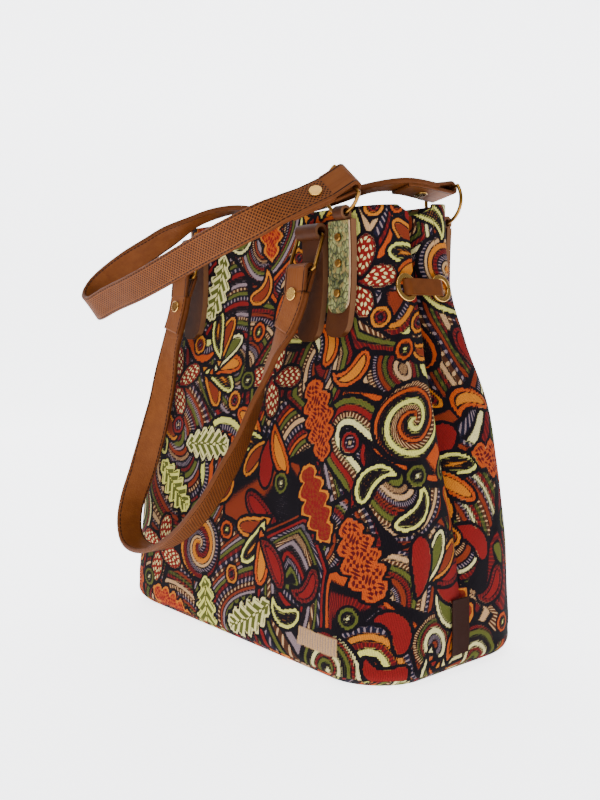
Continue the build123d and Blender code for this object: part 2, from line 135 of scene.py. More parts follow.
# Colours of the woven pattern, as red, green and blue in sRGB
INK = (15, 11, 16)
CREAM = (208, 198, 134)
LEMON = (200, 196, 98)
SAND = (178, 140, 98)
AMBER = (182, 106, 26)
ORANGE = (164, 66, 20)
RUST = (116, 42, 20)
RED = (116, 21, 21)
MAROON = (74, 16, 20)
MAUVE = (124, 106, 110)
OLIVE = (78, 82, 32)
MOSS = (50, 60, 24)
NAVY = (17, 20, 38)
BROWN = (66, 36, 22)

# Bands in these colours carry a row of dots
DOTS = {NAVY: MAUVE, BROWN: SAND, MAROON: RED, MOSS: OLIVE}

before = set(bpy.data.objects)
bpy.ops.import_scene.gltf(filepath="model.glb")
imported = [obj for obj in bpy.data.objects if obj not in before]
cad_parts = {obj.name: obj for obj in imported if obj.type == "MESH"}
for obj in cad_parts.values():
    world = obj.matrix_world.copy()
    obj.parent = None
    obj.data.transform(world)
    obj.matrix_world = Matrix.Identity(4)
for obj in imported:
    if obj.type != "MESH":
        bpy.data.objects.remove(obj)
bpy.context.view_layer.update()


def linear(colour):
    """A colour from sRGB 0-255 to linear 0-1."""
    share = np.asarray(colour, float) / 255
    return np.where(share <= 0.04045, share / 12.92, ((share + 0.055) / 1.055) ** 2.4)


def smooth_rows(table, heights):
    """A table's columns at any height, on a smooth curve through its rows."""
    keys = table[:, 0]
    slopes = np.gradient(table[:, 1:], keys, axis=0)
    place = np.clip(np.searchsorted(keys, heights) - 1, 0, len(keys) - 2)
    span = keys[place + 1] - keys[place]
    t = ((heights - keys[place]) / span)[..., None]
    span = span[..., None]
    low, high = table[place, 1:], table[place + 1, 1:]
    return (
        (2 * t**3 - 3 * t**2 + 1) * low
        + (t**3 - 2 * t**2 + t) * span * slopes[place]
        + (3 * t**2 - 2 * t**3) * high
        + (t**3 - t**2) * span * slopes[place + 1]
    )


def distances(points):
    """How far along a line each of its points is."""
    return np.concatenate([[0], np.cumsum(np.linalg.norm(np.diff(points, axis=0), axis=1))])


def unit(vectors):
    """Each vector at length 1."""
    return vectors / np.maximum(np.linalg.norm(vectors, axis=-1, keepdims=True), 1e-9)


def bezier(t, a, b, c, d):
    """A cubic Bezier on four points, each an array of (..., 2)."""
    t = t[..., None]
    s = 1 - t
    return s**3 * a + 3 * s**2 * t * b + 3 * s * t**2 * c + t**3 * d


def quarter_outline(heights, inset):
    """Points of a quarter outline from the middle of the front to the seam,
    for each height: an array (heights, points, 2) and the length along it."""
    side, front, reach, outer, inner, pleat = smooth_rows(OUTLINES, heights).T
    valley = side - pleat - inset / math.sin(PLEAT_ANGLE)
    side = side - inset
    front = front - inset
    bend = reach - inset
    rise = front - outer
    pull = PLEAT_PULL * inner
    t = np.linspace(0, 1, OUTLINE_STEPS)

    def at(x, y):
        return np.stack([x + 0 * side, y + 0 * side], -1)[:, None, :]

    straight = at(0, -front) * (1 - t[:, None]) + at(side - bend, -front) * t[:, None]
    corner = bezier(
        t,
        at(side - bend, -front),
        at(side - bend + CORNER_ROUNDNESS * bend, -front),
        at(side, -outer - (1 - CORNER_ROUNDNESS) * rise),
        at(side, -outer),
    )
    fold = -inner - inset / 2
    lean = np.minimum(valley + pull * math.cos(PLEAT_ANGLE), side)
    band = at(side, -outer) * (1 - t[:, None]) + at(side, fold) * t[:, None]
    wall = bezier(
        t,
        at(side, fold),
        at(side, -inner + pull),
        at(lean, -pull * math.sin(PLEAT_ANGLE)),
        at(valley, 0 * side),
    )
    line = np.concatenate([straight, corner[:, 1:], band[:, 1:], wall[:, 1:]], axis=1)
    runs = np.linalg.norm(np.diff(line, axis=1), axis=2)
    lengths = np.concatenate([np.zeros((len(heights), 1)), np.cumsum(runs, axis=1)], axis=1)
    return line, lengths


def panel_lines(heights, inset, columns):
    """A half outline from seam to seam for each height: points and cloth u."""
    line, lengths = quarter_outline(heights, inset)
    shares = np.linspace(-1, 1, columns + 1)
    along = np.abs(shares)
    points = np.empty((len(heights), columns + 1, 2))
    across = np.empty((len(heights), columns + 1))
    for row in range(len(heights)):
        run = lengths[row] / lengths[row, -1]
        points[row, :, 0] = np.interp(along, run, line[row, :, 0]) * np.sign(shares)
        points[row, :, 1] = np.interp(along, run, line[row, :, 1])
        across[row] = shares * lengths[row, -1]
    return points, across


def rim_at(y):
    """Height of the rim: tilted back to front, and dipped at the side seams."""
    level = RIM_HEIGHT + RIM_SLOPE * y
    dip = RIM_HEIGHT - NOTCH_DEPTH + (NOTCH_DEPTH - 1) * np.abs(y) / NOTCH_HALF
    return np.where(np.abs(y) < NOTCH_HALF, np.minimum(level, dip), level)


def grid_faces(rows, columns, offset=0, closed=False):
    """Quads of a grid of vertices, row by row."""
    count = columns if closed else columns + 1
    faces = []
    for row in range(rows):
        base = offset + row * count
        for column in range(columns):
            right = (column + 1) % count
            faces.append((base + column, base + right, base + count + right, base + count + column))
    return faces


def in_scene(name, data):
    """A new object of the scene."""
    made = bpy.data.objects.new(name, data)
    bpy.context.scene.collection.objects.link(made)
    return made


def smooth_mesh(name, points, faces, material):
    """A smooth mesh from points in metres."""
    mesh = bpy.data.meshes.new(name)
    mesh.from_pydata(np.asarray(points).tolist(), [], faces)
    mesh.polygons.foreach_set("use_smooth", [True] * len(mesh.polygons))
    mesh.update()
    mesh.materials.append(bpy.data.materials[material])
    return in_scene(name, mesh)


def mesh_object(name, points, faces, body, material):
    """A smooth mesh from points in millimetres, riding on a body."""
    piece = smooth_mesh(name, np.asarray(points) * MM, faces, material)
    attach(piece, body)
    return piece


def store(piece, name, values):
    """A named vector for each vertex, for the materials to read."""
    layer = piece.data.attributes.new(name, "FLOAT_VECTOR", "POINT")
    layer.data.foreach_set("vector", np.ravel(values).astype(np.float32))


# Woven pattern: the dark line between bands, the spacing of dots, the depth
# that stands for no border, and how far the fields sway, widely and finely
BAND_LINE = 0.55
DOT_PITCH = 2.7
BAND_OPEN = 9.0
WIDE_SWAY = 8.0
FINE_SWAY = 2.5
SPINE_STEPS = 44
LOBED_STEPS = 60
RIBBON_STEPS = 90
DROP_RING = 2.8
SPRAY_SWEEP = 2.7
FIELD_COUNT = 40
RIBBON_COUNT = 9
TRIES = 40


class Pattern:
    """The pattern of one cloth panel: for each point of the cloth, which motif
    it is in, how deep inside its edge, and what the motif is coloured with."""

    def __init__(self, u, v, seed):
        self.u, self.v = u, v
        self.pick = random.Random(seed)
        count = len(u)
        self.edge = np.full(count, -3.0)
        self.depth = np.zeros(count)
        self.stripe = np.full(count, 0.25)
        self.cross = np.full(count, 0.25)
        self.rim = np.full(count, 1.2)
        self.level = np.full(count, 2.0)
        self.colours = np.zeros((3, count, 3)) + linear(INK)

    def lay(self, near, inside, stripe, cross, rim, level, colours, gap):
        """Lays a motif over what is there, with a dark line round it."""
        own = inside > 0
        spots = near[own]
        self.edge[near] = np.minimum(self.edge[near], -inside - gap)
        self.edge[spots] = inside[own]
        layers = (self.depth, self.stripe, self.cross, self.rim, self.level)
        for layer, values in zip(layers, (inside, stripe, cross, rim, level)):
            layer[spots] = values[own] if np.ndim(values) else values
        for layer, colour in zip(self.colours, colours):
            layer[spots] = linear(colour)

    def nest(self, near, inside, run, along, widths, colours, cyclic=False, gap=1.6):
        """Lays a motif of nested bands, each in its own colour, with dark lines
        round it and between the bands."""
        own = inside > 0
        spots = near[own]
        self.edge[near] = np.minimum(self.edge[near], -inside - gap)
        inside, run, along = inside[own], run[own], along[own]
        limits = np.concatenate([[0], np.cumsum(widths)])
        if cyclic:
            run = run % limits[-1]
        last = len(widths) - 1
        band = np.clip(np.searchsorted(limits, run, side="right") - 1, 0, last)
        low, high = limits[band], limits[band + 1]
        below = np.where((band > 0) | cyclic, run - low, BAND_OPEN)
        above = np.where((band < last) | cyclic, high - run, BAND_OPEN)
        self.edge[spots] = np.minimum(inside, np.minimum(below, above) - BAND_LINE)
        self.depth[spots] = BAND_OPEN
        self.rim[spots] = 0
        self.stripe[spots] = np.clip((run - low) / (high - low), 0, 1) / 2
        self.cross[spots] = along / DOT_PITCH
        for number in range(last + 1):
            colour = colours[number % len(colours)]
            chosen = spots[band == number]
            self.level[chosen] = 0.4 if colour in DOTS else 2.0
            self.colours[:2, chosen] = linear(colour)
            self.colours[2, chosen] = linear(DOTS.get(colour, colour))

    def around(self, low, high):
        """The points of the cloth inside a box."""
        return np.nonzero(
            (self.u > low[0]) & (self.u < high[0]) & (self.v > low[1]) & (self.v < high[1])
        )[0]

    def follow(self, points, radii):
        """Where the cloth lies along a curved spine: the points near it, their
        depth inside its width, and their places along it and across it."""
        reach = radii.max() + 4
        near = self.around(points.min(0) - reach, points.max(0) + reach)
        place = np.stack([self.u[near], self.v[near]], 1)
        headings = unit(np.gradient(points, axis=0))
        inside = np.full(len(near), -1e3)
        along = np.zeros(len(near))
        lateral = np.zeros(len(near))
        for centre, radius, run, forward in zip(points, radii, distances(points), headings):
            offset = place - centre
            score = radius - np.hypot(offset[:, 0], offset[:, 1])
            better = score > inside
            inside[better] = score[better]
            along[better] = run + offset[better] @ forward
            lateral[better] = offset[better] @ (-forward[1], forward[0])
        return near, inside, along, lateral

    def fields(self, cells, palettes):
        """Fills the cloth with fields of curving bands."""
        u, v = self.u, self.v
        u, v = (
            u + WIDE_SWAY * np.sin(v / 29 + 0.7) + FINE_SWAY * np.sin(v / 13 + u / 41),
            v + WIDE_SWAY * np.sin(u / 33 + 2.1) + FINE_SWAY * np.sin(u / 15 - v / 47),
        )
        seeds = np.array([
            (self.pick.uniform(-230, 230), self.pick.uniform(-10, 305)) for _ in range(cells)
        ])
        distance = np.hypot(u[:, None] - seeds[:, 0], v[:, None] - seeds[:, 1])
        order = np.argsort(distance, axis=1)[:, :2]
        first, second = np.take_along_axis(distance, order, axis=1).T
        border = (second - first) / 2 - 0.8
        for cell in range(cells):
            own = np.nonzero(order[:, 0] == cell)[0]
            if not len(own):
                continue
            away = self.pick.uniform(0, 2 * math.pi)
            pole = seeds[cell] + self.pick.uniform(12, 40) * way(away)
            run = np.hypot(u[own] - pole[0], v[own] - pole[1])
            along = np.arctan2(v[own] - pole[1], u[own] - pole[0]) * 30
            if self.pick.random() < 0.4:
                run = border[own]
            widths = [self.pick.uniform(2.4, 4.0) for _ in range(6)]
            colours = self.pick.choice(palettes)
            self.nest(own, border[own], run, along, widths, colours, cyclic=True, gap=0)


def way(angle):
    """The unit vector at an angle."""
    return np.array([math.cos(angle), math.sin(angle)])


def arc_spine(start, angle, length, turn, steps=SPINE_STEPS):
    """Points along a curve that leaves start at an angle and turns steadily."""
    headings = angle + turn * np.linspace(0, 1, steps) ** 1.3
    step = length / (steps - 1)
    moves = np.stack([np.cos(headings), np.sin(headings)], 1) * step
    return start + np.concatenate([[(0, 0)], np.cumsum(moves[:-1], axis=0)])


def drop_radii(width):
    """Radii of a drop: round at its start and drawn out to a point."""
    t = np.linspace(0, 1, SPINE_STEPS)
    return width / 2 * np.clip(1.9 * np.sqrt(t + 0.02) * (1 - t) ** 0.9 + 0.04, 0.05, 1.0)


def lobed(cloth, spot, angle, size, width, bend, lobes):
    """A leaf shape with round lobes down both its sides: the points near it,
    their depth inside it and their places along it and across it."""
    length = 2.3 * size
    turn = cloth.pick.uniform(-bend, bend)
    spine = arc_spine(spot - 1.1 * size * way(angle), angle, length, turn, LOBED_STEPS)
    near, _, along, lateral = cloth.follow(spine, np.full(LOBED_STEPS, width / 2))
    t = np.clip(along / length, 0, 1)
    body = np.sin(math.pi * (t * 0.94 + 0.06)) ** 0.55
    edge = width / 2 * body * (0.6 + 0.4 * np.abs(np.sin(lobes * math.pi * t + 0.4)))
    inside = 0.85 * np.minimum(edge - np.abs(lateral), np.minimum(along + 1, length - along))
    return near, inside, along, lateral


def leaf(cloth, spot, angle, size):
    """A lobed leaf with a mottled middle."""
    near, inside, along, lateral = lobed(cloth, spot, angle, size, 29, 0.6, 5)
    stripe = (along + 1.5 * np.sin(lateral / 1.7)) / 5.2
    cross = (lateral + 1.5 * np.sin(along / 2.1)) / 4.6
    cloth.lay(near, inside, stripe, cross, 2.2, -0.05, cloth.pick.choice(LEAF_COLOURS), gap=2.0)


def sprig(cloth, spot, angle, size):
    """A pale leaf with rows of slanting leaflets on it."""
    near, inside, along, lateral = lobed(cloth, spot, angle, size, 26, 0.5, 6)
    stripe = (along + 0.9 * np.abs(lateral)) / 7.4
    vein = np.where(np.abs(lateral) < 0.7, 0.75, 0.25)
    cloth.lay(near, inside, stripe, vein, 1.9, -0.25, cloth.pick.choice(SPRIG_COLOURS), gap=2.0)


def flower(cloth, spot, angle, size):
    """A flower of spotted petals, each narrowing to the middle."""
    petals = cloth.pick.choice((4, 5))
    colours = cloth.pick.choice(PETAL_COLOURS)
    reach = 1.25 * size
    for number in range(petals):
        turned = angle + 2 * math.pi * number / petals
        spine = arc_spine(spot + reach * way(turned), turned + math.pi, 0.98 * reach, 0.25)
        near, inside, along, lateral = cloth.follow(spine, drop_radii(0.74 * reach))
        stripe = (along + 1.2 * np.sin(lateral * 0.9)) / 5.6
        cloth.lay(near, inside, stripe, lateral / 4.6, 1.3, 0.3, colours, gap=1.8)


def scroll(cloth, spot, angle, size):
    """A disc of bands that wind in to its middle."""
    widths = [cloth.pick.uniform(2.8, 4.2) for _ in range(4)]
    near = cloth.around(spot - size - 4, spot + size + 4)
    x, y = cloth.u[near] - spot[0], cloth.v[near] - spot[1]
    distance, turned = np.hypot(x, y), np.arctan2(y, x)
    inside = size * (0.93 + 0.07 * np.cos(turned - angle)) - distance
    run = inside + sum(widths) * (2 + (turned + math.pi) / (2 * math.pi))
    colours = cloth.pick.choice(SCROLL_COLOURS)
    cloth.nest(near, inside, run, turned * distance, widths, colours, cyclic=True, gap=2.2)


def drop(cloth, start, angle, length, width, turn, colours):
    """A drop of nested colours."""
    spine = arc_spine(start, angle, length, turn)
    near, inside, along, _ = cloth.follow(spine, drop_radii(width))
    widths = [DROP_RING] * (len(colours) - 1) + [width]
    cloth.nest(near, inside, inside, along, widths, colours, gap=1.9)


def spray(cloth, spot, angle, size):
    """A spray of drops fanned out round a centre."""
    palettes = cloth.pick.sample(DROP_COLOURS, 4)
    count = cloth.pick.choice((5, 6))
    turn = cloth.pick.choice((-0.7, 0.7))
    centre = spot - 0.55 * size * way(angle)
    length = 1.35 * size
    for number in range(count):
        fanned = angle + SPRAY_SWEEP * (number / (count - 1) - 0.5)
        start = centre + length * way(fanned)
        drop(cloth, start, fanned + math.pi, 1.02 * length, 17, turn, palettes[number % 4])


def comma(cloth, spot, angle, size):
    """One bent drop."""
    turn = cloth.pick.choice((-2.4, 2.4))
    colours = cloth.pick.choice(DROP_COLOURS)
    drop(cloth, spot - 0.8 * size * way(angle), angle, 2.3 * size, 15, turn, colours)


def ring(cloth, spot, angle, size):
    """A small ringed dot."""
    disc = arc_spine(spot, angle, 1.0, 0)
    near, inside, along, _ = cloth.follow(disc, np.full(SPINE_STEPS, size * 0.8))
    colours = cloth.pick.choice(SCROLL_COLOURS)
    cloth.nest(near, inside, inside, along, [2.6, 2.4, size], colours)


def ribbon(cloth, start, angle, length, width, sway, colours):
    """A long ribbon of side-by-side bands that sways across the cloth."""
    t = np.linspace(0, 1, RIBBON_STEPS)
    headings = angle + sway * np.sin(2 * math.pi * 1.1 * t)
    moves = np.stack([np.cos(headings), np.sin(headings)], 1) * length / (RIBBON_STEPS - 1)
    radii = width / 2 * np.clip(6 * np.minimum(t, 1 - t) + 0.1, 0.1, 1)
    near, inside, along, lateral = cloth.follow(start + np.cumsum(moves, axis=0), radii)
    widths = [width / len(colours)] * len(colours)
    cloth.nest(near, inside, lateral + width / 2, along, widths, colours, gap=2.2)


FIELD_PALETTES = [
    (MAROON, OLIVE, BROWN, SAND, NAVY, RUST),
    (RUST, NAVY, CREAM, MAROON, MOSS, BROWN),
    (BROWN, SAND, MAROON, MOSS, RUST, NAVY),
    (RED, NAVY, OLIVE, BROWN, MAUVE, INK),
    (NAVY, MAROON, OLIVE, MAUVE, RUST, BROWN),
    (ORANGE, MAROON, NAVY, SAND, BROWN, OLIVE),
]
DROP_COLOURS = [
    (AMBER, RUST), (RED,), (LEMON, INK, AMBER), (ORANGE, AMBER), (CREAM, OLIVE), (MAROON, RED),
]
LEAF_COLOURS = [(AMBER, RED, ORANGE), (ORANGE, MAROON, ORANGE), (AMBER, RUST, RED)]
SPRIG_COLOURS = [(LEMON, LEMON, OLIVE), (CREAM, CREAM, OLIVE)]
PETAL_COLOURS = [(MAROON, RED, CREAM), (RED, RED, CREAM)]
SCROLL_COLOURS = [
    (RED, NAVY, SAND, INK),
    (OLIVE, INK, CREAM, MAROON),
    (AMBER, MAROON, NAVY, SAND),
    (ORANGE, INK, LEMON, BROWN),
]
RIBBON_COLOURS = [
    (LEMON, MAROON, AMBER, NAVY),
    (MAUVE, NAVY, CREAM),
    (CREAM, BROWN, RED, OLIVE),
    (ORANGE, NAVY, LEMON),
]

# Motifs: what lays one, the room that it takes and how many are tried
MOTIFS = [
    (scroll, 25, 8), (spray, 25, 12), (leaf, 23, 12), (sprig, 22, 10),
    (flower, 19, 10), (comma, 14, 34), (ring, 8, 46),
]


def compose(cloth):
    """The whole pattern of a panel: fields, ribbons, then motifs by size."""
    pick = cloth.pick
    cloth.fields(FIELD_COUNT, FIELD_PALETTES)
    for _ in range(RIBBON_COUNT):
        start = (pick.uniform(-230, 150), pick.uniform(0, 290))
        ribbon(cloth, start, pick.uniform(-1.2, 1.2), pick.uniform(90, 150), pick.uniform(13, 19),
               pick.uniform(0.9, 1.7), pick.choice(RIBBON_COLOURS))
    taken = []
    for motif, size, count in MOTIFS:
        for _ in range(count):
            for _ in range(TRIES):
                spot = np.array([pick.uniform(-225, 225), pick.uniform(0, 298)])
                if all(math.dist(spot, other) > size + room for other, room in taken):
                    taken.append((spot, size))
                    motif(cloth, spot, pick.uniform(0, 2 * math.pi), size)
                    break


def panel_sheet(sign):
    """The points of one panel, from the base seam up over the rolled rim and
    down its facing, and the place of each on the cloth."""
    top, _ = panel_lines(np.array([FACING_TOP]), 0, PANEL_COLUMNS)
    rim = rim_at(top[0, :, 1] * sign) - ROLL_HEIGHT
    low = BASE_SEAM - BASE_LAP
    shares = np.linspace(0, 1, PANEL_ROWS + 1)
    points, across = panel_lines(low + shares * (rim.mean() - BASE_SEAM), 0, PANEL_COLUMNS)
    z = low + shares[:, None] * (rim - low)
    outer = np.stack([points[..., 0], points[..., 1] * sign, z], -1)
    outer = outer + folds(outer)[..., None] * normals_of(outer, sign)

    down = np.linspace(0, 1, FACING_ROWS)[:, None]
    depth = FACING_TOP - FACING_EDGE
    line, _ = panel_lines(FACING_TOP - depth * down[:, 0], SHELL, PANEL_COLUMNS)
    levels = (rim - FACING_DROP) * (1 - down) + FACING_EDGE * down
    facing = np.stack([line[..., 0], line[..., 1] * sign, levels], -1)

    turns = math.pi * np.array([0.25, 0.5, 0.75])[:, None, None]
    roll = (outer[-1] * (1 + np.cos(turns)) + facing[0] * (1 - np.cos(turns))) / 2
    roll[..., 2] = rim + ROLL_HEIGHT * np.sin(turns[..., 0])

    past_rim = np.concatenate([[[2], [4], [6]], 8 + depth * down])
    u = np.concatenate([across, np.repeat(across[-1:], len(past_rim), axis=0)])
    v = np.concatenate([outer[..., 2], rim + past_rim])
    return np.concatenate([outer, roll, facing]), u.ravel(), v.ravel()


def cloth_piece(name, sign, seed, nodes):
    """One panel: its outside, the turned rim and the facing inside it."""
    sheet, u, v = panel_sheet(sign)
    faces = grid_faces(len(sheet) - 1, PANEL_COLUMNS)
    if sign < 0:
        faces = [face[::-1] for face in faces]
    piece = mesh_object(name, sheet.reshape(-1, 3), faces, "bag", "jacquard")
    cloth = Pattern(u, v, seed)
    compose(cloth)
    if sign > 0:
        patch(cloth)
    store_pattern(piece, cloth)
    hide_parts(*nodes)


def store_pattern(piece, cloth):
    """The pattern's values, kept on the mesh for the material."""
    store(piece, "cloth", np.stack([cloth.u, cloth.v, 0 * cloth.u], 1))
    store(piece, "place", np.stack([cloth.edge, cloth.depth, cloth.rim], 1))
    store(piece, "weave", np.stack([cloth.stripe, cloth.cross, cloth.level], 1))
    for number, layer in enumerate(cloth.colours):
        store(piece, f"tone{number}", layer)


# The bare woven patch: its middle on the cloth, half its size, its thread
PATCH_PLACE = (95.0, 23.5)
PATCH_SIZE = (17.8, 5.4)
PATCH_THREAD = 2.4


def patch(cloth):
    """A small bare woven patch low on the front."""
    x = np.abs(cloth.u - PATCH_PLACE[0]) - PATCH_SIZE[0]
    y = np.abs(cloth.v - PATCH_PLACE[1]) - PATCH_SIZE[1]
    inside = -np.maximum(x, y)
    near = np.nonzero(inside > -4)[0]
    inside = inside[near]
    stripe = cloth.u[near] / PATCH_THREAD
    cloth.lay(near, inside, stripe, 0.25, 0.6, 0.75, (SAND, SAND, MAUVE), gap=0.6)


def normals_of(grid, sign):
    """Outward unit normals of a grid of points."""
    along = np.gradient(grid, axis=1)
    up = np.gradient(grid, axis=0)
    return unit(np.cross(along, up) * sign)


# Folds of the cloth: how far each kind moves it. Dents stay shallower than the
# cloth is thick, clear of the lining.
SWELL = 1.3
PULLED = 1.2
SAG = 2.2
CREASE = 1.4
RIPPLE = 0.4
HEM = 0.5
DENT_LIMIT = 1.7
SINK = 0.25
PLEAT_CALM = 0.7


def bell(value, centre, spread):
    """1 at a centre, falling off smoothly on both sides of it."""
    return np.exp(-(((value - centre) / spread) ** 2))


def ramp(value, start, length):
    """0 up to a start, then rising to 1 over a length."""
    return np.clip((value - start) / length, 0, 1)


def folds(grid):
    """How far the soft dents and folds of the cloth move it outwards."""
    x, y, z = np.moveaxis(grid, -1, 0)
    wide = np.abs(x)
    moved = SWELL * np.sin(x / 31 + z / 53 + 0.8) * np.sin(z / 41 + y / 29)
    moved += PULLED * np.sin((0.8 * wide - 0.55 * z) / 13) * bell(z, 190, 46) * ramp(wide, 60, 60)
    moved -= SAG * bell(x, -8, 60) * bell(z, 150, 55)
    moved -= CREASE * bell(x / 2 + z, 120, 7) * bell(x, 60, 45)
    moved += RIPPLE * np.sin(x / 9 + 2.1 * np.sin(z / 31)) * np.sin(z / 15.5 + 1.3 * np.sin(x / 23))

    # Flat at the base and the rim, behind the tabs, round the grommets and,
    # for the most part, in the pleats
    moved *= ramp(z, 20, 60) * ramp(-z, -286, 40)
    moved *= np.where(z > 200, ramp(np.hypot(wide - 72, z - 244), 34, 30), 1)
    moved *= ramp(np.hypot(y, z - 240), 24, 20)
    moved *= 1 - PLEAT_CALM * ramp(wide, 92, 12) * ramp(-np.abs(y), -36, 10)

    moved += HEM * np.sin(x / 17 + 0.6) * bell(z, 30, 16)
    return np.where(moved < 0, DENT_LIMIT * np.tanh(moved / DENT_LIMIT), moved) - SINK


def whole_outlines(heights, inset, columns):
    """Closed outlines of the bag, one for each height."""
    half, _ = panel_lines(heights, inset, columns)
    return np.concatenate([half, half[:, ::-1][:, 1:-1] * (1, -1)], axis=1)


def raised(loops, heights):
    """Flat loops of points, each lifted to its height."""
    lift = np.broadcast_to(np.asarray(heights)[:, None, None], (*loops.shape[:2], 1))
    return np.concatenate([loops, lift], axis=2)


def lining_piece():
    """The lining inside the bag, down its walls and across its floor."""
    heights = np.linspace(SHELL + 2 * LINING_GAP, FACING_EDGE + LINING_TUCK, LINING_ROWS + 1)
    slack = LINING_SLACK * ramp(-heights, -FACING_EDGE, 30) * ramp(heights, 0, 30)
    ring = whole_outlines(heights, SHELL + slack, LINING_COLUMNS)
    shares = np.array([0.3, 0.6, 0.9])[:, None, None]
    floor = raised(ring[0] * shares, np.full(len(shares), SHELL + LINING_GAP))
    sheet = np.concatenate([floor, raised(ring, heights)])
    count = sheet.shape[1]
    faces = [face[::-1] for face in grid_faces(len(sheet) - 1, count, closed=True)]
    faces.append(tuple(range(count)))
    piece = mesh_object("inner_lining", sheet.reshape(-1, 3), faces, "bag", "lining")
    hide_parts("lining")


# The turn of the base's edge: height, and how far in from the side
BASE_TURN = np.array([(0, 3.2), (0.4, 1.5), (1.2, 0.6), (2.4, 0.15), (3.8, 0), (BASE_SEAM, 0.1)])
BASE_RINGS = 40


def base_piece():
    """The base: its flat bottom and the turn of the cloth round its edge."""
    heights, inwards = BASE_TURN.T
    ring = whole_outlines(heights, 0, LINING_COLUMNS * 2)
    size = np.linalg.norm(ring, axis=2, keepdims=True)
    ring = ring * (1 - inwards[:, None, None] / size)
    shares = np.linspace(0.06, 0.97, BASE_RINGS)[:, None, None]
    sheet = np.concatenate([raised(ring[0] * shares, np.zeros(BASE_RINGS)), raised(ring, heights)])
    count = sheet.shape[1]
    faces = grid_faces(len(sheet) - 1, count, closed=True)
    faces.append(tuple(range(count))[::-1])
    flat = sheet.reshape(-1, 3)
    piece = mesh_object("base_cloth", flat, faces, "bag", "jacquard")
    cloth = Pattern(flat[:, 0] * 1.2, flat[:, 1] * 1.2 + 150, 41)
    compose(cloth)
    store_pattern(piece, cloth)
    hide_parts("base_panel")


# The side label: its middle along y and z, its size, how far it stands off the
# cloth and how far its long edges curl
LABEL_PLACE = (-3.5, 31.0)
LABEL_SIZE = (16.0, 35.0)
LABEL_RISE = 0.5
LABEL_CURL = 0.5


def label_piece():
    """The side label: woven tape that lies over the seam, curved with the cloth."""
    columns, rows = 16, 36
    y, z = np.meshgrid(
        LABEL_PLACE[0] + LABEL_SIZE[0] * np.linspace(-0.5, 0.5, columns + 1),
        LABEL_PLACE[1] + LABEL_SIZE[1] * np.linspace(-0.5, 0.5, rows + 1),
    )
    side = smooth_rows(OUTLINES, z[:, 0])[:, 0][:, None]
    curl = LABEL_CURL * ((y - LABEL_PLACE[0]) / (LABEL_SIZE[0] / 2)) ** 2
    front = np.stack([side + LABEL_RISE + curl, y, z], -1)
    sheet = np.concatenate([front, front - (LABEL_RISE, 0, 0)])
    count = (rows + 1) * (columns + 1)
    faces = grid_faces(rows, columns) + [face[::-1] for face in grid_faces(rows, columns, count)]
    index = np.arange(count).reshape(rows + 1, columns + 1)
    border = [index[0], index[1:, -1], index[-1, -2::-1], index[-2:0:-1, 0]]
    border = np.concatenate(border).tolist()
    for here, following in zip(border, border[1:] + border[:1]):
        faces.append((following, here, count + here, count + following))
    piece = mesh_object("woven_label", sheet.reshape(-1, 3), faces, "bag", "label")
    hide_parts("side_label")


# Handles

def curve_through(rows, steps):
    """A smooth curve through points by their chord lengths, with its width
    directions, evenly spaced: places, headings, widths and distances. Each end
    of the curve runs along its last chord."""
    rows = np.array(rows, float)
    points = rows[:, :3]
    knots = distances(points)
    spans = np.diff(knots)
    count = len(knots)
    system = np.zeros((count, count))
    system[0, :2] = system[-1, :-3:-1] = 2, 1
    for k in range(1, count - 1):
        system[k, k - 1:k + 2] = spans[k - 1], 2 * (spans[k - 1] + spans[k]), spans[k]
    right = np.zeros((count, 3))
    right[1:-1] = 6 * np.diff(np.diff(points, axis=0) / spans[:, None], axis=0)
    bends = np.linalg.solve(system, right)

    fine = np.linspace(0, knots[-1], 2000)
    place = np.clip(np.searchsorted(knots, fine) - 1, 0, count - 2)
    span = spans[place][:, None]
    a = (knots[place + 1] - fine)[:, None] / span
    b = 1 - a
    curve = (
        a * points[place] + b * points[place + 1]
        + ((a**3 - a) * bends[place] + (b**3 - b) * bends[place + 1]) * span**2 / 6
    )
    ease = b * b * (3 - 2 * b)
    widths = rows[place, 3:] * (1 - ease) + rows[place + 1, 3:] * ease

    runs = distances(curve)
    even = np.linspace(0, runs[-1], steps)
    places = np.stack([np.interp(even, runs, values) for values in curve.T], 1)
    widths = np.stack([np.interp(even, runs, values) for values in widths.T], 1)
    headings = unit(np.gradient(places, axis=0))
    widths = unit(widths - headings * np.sum(widths * headings, axis=1)[:, None])
    return places, headings, widths, even


def band_section(width, low, high, corner):
    """A band's section with rounded edges: for each point its place across the
    band, how far out it is, and its face: -1 outer, 0 edge, 1 inner."""
    half = width / 2
    flat = np.linspace(-half + corner, half - corner, 13)
    bottom = [(x, low, -1) for x in flat]
    top = [(x, high, 1) for x in flat[::-1]]
    turns = np.linspace(-math.pi / 2, math.pi / 2, 7)[1:-1]
    middle, tall = (low + high) / 2, (high - low) / 2
    right = [(half - corner + corner * math.cos(a), middle + tall * math.sin(a), 0) for a in turns]
    left = [(-x, y, 0) for x, y, _ in right[::-1]]
    return np.array(bottom + right + top + left)


def band_piece(name, places, headings, widths, along, section, body):
    """A flat band of leather swept through frames, closed at both ends."""
    outs = np.cross(headings, widths)
    sheet = places[:, None] + widths[:, None] * section[:, :1] + outs[:, None] * section[:, 1:2]
    rows, count = sheet.shape[:2]
    faces = grid_faces(rows - 1, count, closed=True)
    faces.append(tuple(range(count))[::-1])
    faces.append(tuple(range((rows - 1) * count, rows * count)))
    faces = [face[::-1] for face in faces]
    piece = mesh_object(name, sheet.reshape(-1, 3), faces, body, "strap_leather")
    strap = np.empty(sheet.shape)
    strap[..., 0] = along[:, None]
    strap[..., 1] = section[:, 0]
    strap[..., 2] = section[:, 2]
    store(piece, "strap", strap.reshape(-1, 3))
    return piece


